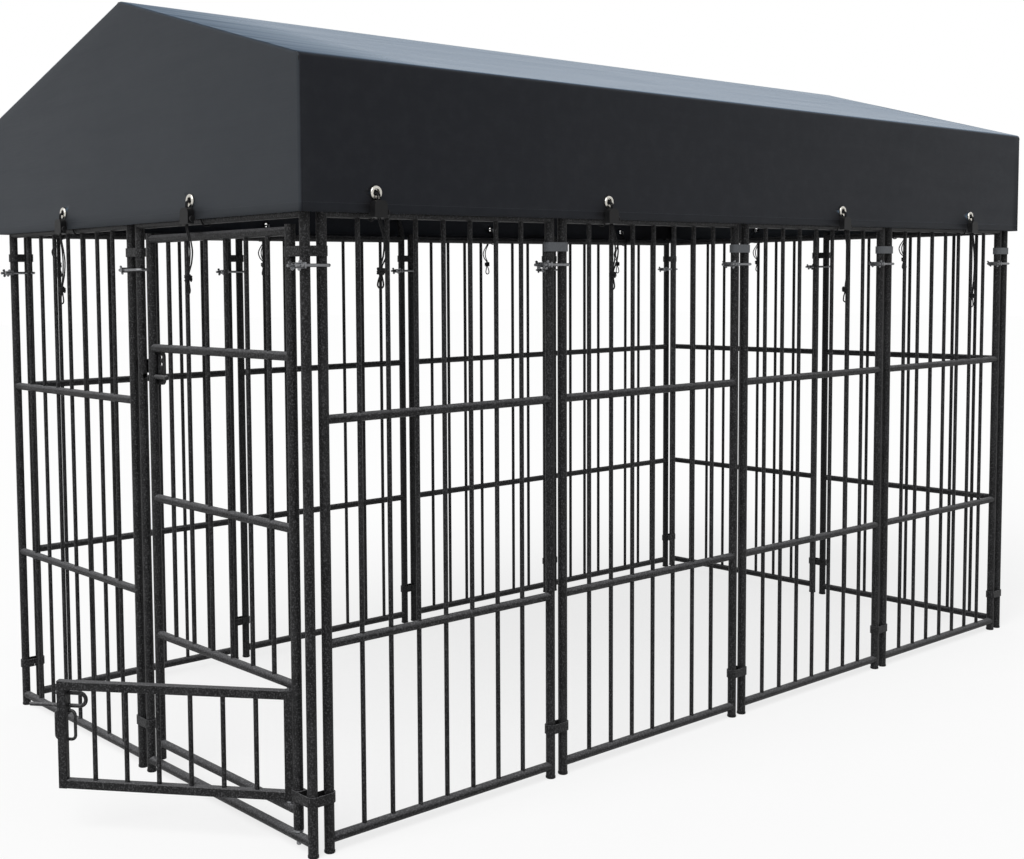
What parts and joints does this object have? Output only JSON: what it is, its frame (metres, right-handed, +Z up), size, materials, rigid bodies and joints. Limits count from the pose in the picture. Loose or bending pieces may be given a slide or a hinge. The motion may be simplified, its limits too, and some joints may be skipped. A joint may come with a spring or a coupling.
{
  "type": "outdoor dog kennel run",
  "caption": "Outdoor dog run of welded bar panels clamped post to post, with a hinged door, an inset feeding door and a gable rain cover tied on with elastic cords.",
  "frame": {"origin": "centre of the box round the run with its feeding door as it stands, on the ground, cords and their locks left out", "axes": "+X along the run away from the door end, +Y across it towards the side away from the door's hinge, +Z up"},
  "size_m": [3.7349, 1.6746, 2.1009],
  "materials": {
    "hammered_coat": "black hammered powder coat",
    "bolt_coat": "black powder coat, worn smooth",
    "zinc_plate": "bright zinc plate",
    "nickel": "nickel plated",
    "cover_cloth": "coated woven cloth, satin",
    "black_plastic": "matte",
    "elastic_cord": "braided sheath"
  },
  "bodies": {
    "frame": {"right_panel_1": "hammered_coat", "right_panel_2": "hammered_coat", "right_panel_3": "hammered_coat", "right_panel_4": "hammered_coat", "left_panel_1": "hammered_coat", "left_panel_2": "hammered_coat", "left_panel_3": "hammered_coat", "left_panel_4": "hammered_coat", "rear_panel_1": "hammered_coat", "rear_panel_2": "hammered_coat", "front_panel": "hammered_coat", "door_frame": "hammered_coat", "foot_plugs": "black_plastic", "top_plugs": "black_plastic", "upper_straps": "hammered_coat", "lower_straps": "hammered_coat", "door_hinge_straps": "hammered_coat", "u_bolts": "zinc_plate", "saddle_plates": "zinc_plate", "wing_nuts": "zinc_plate", "strike_plate": "hammered_coat", "roof_uprights": "hammered_coat", "roof_rafters": "hammered_coat", "ridge_tube": "hammered_coat", "eave_tubes": "hammered_coat", "roof_connectors": "hammered_coat", "cover": "cover_cloth", "grommets": "nickel", "lock_bodies": "black_plastic", "lock_springs": "zinc_plate", "right_cords": "elastic_cord", "left_cords": "elastic_cord", "front_cords": "elastic_cord", "rear_cords": "elastic_cord", "cord_knots": "elastic_cord"},
    "door": {"door": "hammered_coat", "door_pivot_pin": "zinc_plate"},
    "latch_bolt": {"latch_bolt": "bolt_coat"},
    "feed_door": {"feed_door": "hammered_coat", "feed_pins": "zinc_plate"},
    "feed_bolt": {"feed_bolt": "bolt_coat"},
    "feed_pull": {"feed_pull": "bolt_coat"},
    "lock_button_right_1": {"lock_button_right_1": "black_plastic"},
    "lock_button_right_2": {"lock_button_right_2": "black_plastic"},
    "lock_button_right_3": {"lock_button_right_3": "black_plastic"},
    "lock_button_right_4": {"lock_button_right_4": "black_plastic"},
    "lock_button_left_1": {"lock_button_left_1": "black_plastic"},
    "lock_button_left_2": {"lock_button_left_2": "black_plastic"},
    "lock_button_left_3": {"lock_button_left_3": "black_plastic"},
    "lock_button_left_4": {"lock_button_left_4": "black_plastic"},
    "lock_button_front_1": {"lock_button_front_1": "black_plastic"},
    "lock_button_front_2": {"lock_button_front_2": "black_plastic"},
    "lock_button_rear_1": {"lock_button_rear_1": "black_plastic"},
    "lock_button_rear_2": {"lock_button_rear_2": "black_plastic"}
  },
  "joints": [
    {"name": "door_hinge", "type": "hinge", "parent": "frame", "child": "door", "pos_m": [-1.43269, -0.719, 0.7], "axis": [0, 0, 1], "range_deg": [0, 90]},
    {"name": "latch_slide", "type": "slide", "parent": "door", "child": "latch_bolt", "axis": [0, 1, 0], "range_m": [0, 0.045]},
    {"name": "feed_door_hinge", "type": "hinge", "parent": "door", "child": "feed_door", "pos_m": [-1.43269, -0.686, 0.247], "axis": [0, 0, 1], "range_deg": [-41, 49]},
    {"name": "feed_bolt_slide", "type": "slide", "parent": "feed_door", "child": "feed_bolt", "axis": [0.6561, -0.7547, 0], "range_m": [0, 0.085]},
    {"name": "feed_pull_swing", "type": "hinge", "parent": "feed_door", "child": "feed_pull", "pos_m": [-1.79437, -0.2425, 0.3], "axis": [0.6561, -0.7547, 0], "range_deg": [0, 125]},
    {"name": "lock_button_right_1_press", "type": "slide", "parent": "frame", "child": "lock_button_right_1", "axis": [-1, 0, 0], "range_m": [0, 0.004], "stiffness_N_per_m": 400, "springref_m": -0.003, "deforming": ["lock_springs"]},
    {"name": "lock_button_right_2_press", "type": "slide", "parent": "frame", "child": "lock_button_right_2", "axis": [-1, 0, 0], "range_m": [0, 0.004], "stiffness_N_per_m": 400, "springref_m": -0.003, "deforming": ["lock_springs"]},
    {"name": "lock_button_right_3_press", "type": "slide", "parent": "frame", "child": "lock_button_right_3", "axis": [-1, 0, 0], "range_m": [0, 0.004], "stiffness_N_per_m": 400, "springref_m": -0.003, "deforming": ["lock_springs"]},
    {"name": "lock_button_right_4_press", "type": "slide", "parent": "frame", "child": "lock_button_right_4", "axis": [-1, 0, 0], "range_m": [0, 0.004], "stiffness_N_per_m": 400, "springref_m": -0.003, "deforming": ["lock_springs"]},
    {"name": "lock_button_left_1_press", "type": "slide", "parent": "frame", "child": "lock_button_left_1", "axis": [1, 0, 0], "range_m": [0, 0.004], "stiffness_N_per_m": 400, "springref_m": -0.003, "deforming": ["lock_springs"]},
    {"name": "lock_button_left_2_press", "type": "slide", "parent": "frame", "child": "lock_button_left_2", "axis": [1, 0, 0], "range_m": [0, 0.004], "stiffness_N_per_m": 400, "springref_m": -0.003, "deforming": ["lock_springs"]},
    {"name": "lock_button_left_3_press", "type": "slide", "parent": "frame", "child": "lock_button_left_3", "axis": [1, 0, 0], "range_m": [0, 0.004], "stiffness_N_per_m": 400, "springref_m": -0.003, "deforming": ["lock_springs"]},
    {"name": "lock_button_left_4_press", "type": "slide", "parent": "frame", "child": "lock_button_left_4", "axis": [1, 0, 0], "range_m": [0, 0.004], "stiffness_N_per_m": 400, "springref_m": -0.003, "deforming": ["lock_springs"]},
    {"name": "lock_button_front_1_press", "type": "slide", "parent": "frame", "child": "lock_button_front_1", "axis": [0, 1, 0], "range_m": [0, 0.004], "stiffness_N_per_m": 400, "springref_m": -0.003, "deforming": ["lock_springs"]},
    {"name": "lock_button_front_2_press", "type": "slide", "parent": "frame", "child": "lock_button_front_2", "axis": [0, 1, 0], "range_m": [0, 0.004], "stiffness_N_per_m": 400, "springref_m": -0.003, "deforming": ["lock_springs"]},
    {"name": "lock_button_rear_1_press", "type": "slide", "parent": "frame", "child": "lock_button_rear_1", "axis": [0, -1, 0], "range_m": [0, 0.004], "stiffness_N_per_m": 400, "springref_m": -0.003, "deforming": ["lock_springs"]},
    {"name": "lock_button_rear_2_press", "type": "slide", "parent": "frame", "child": "lock_button_rear_2", "axis": [0, -1, 0], "range_m": [0, 0.004], "stiffness_N_per_m": 400, "springref_m": -0.003, "deforming": ["lock_springs"]}
  ]
}
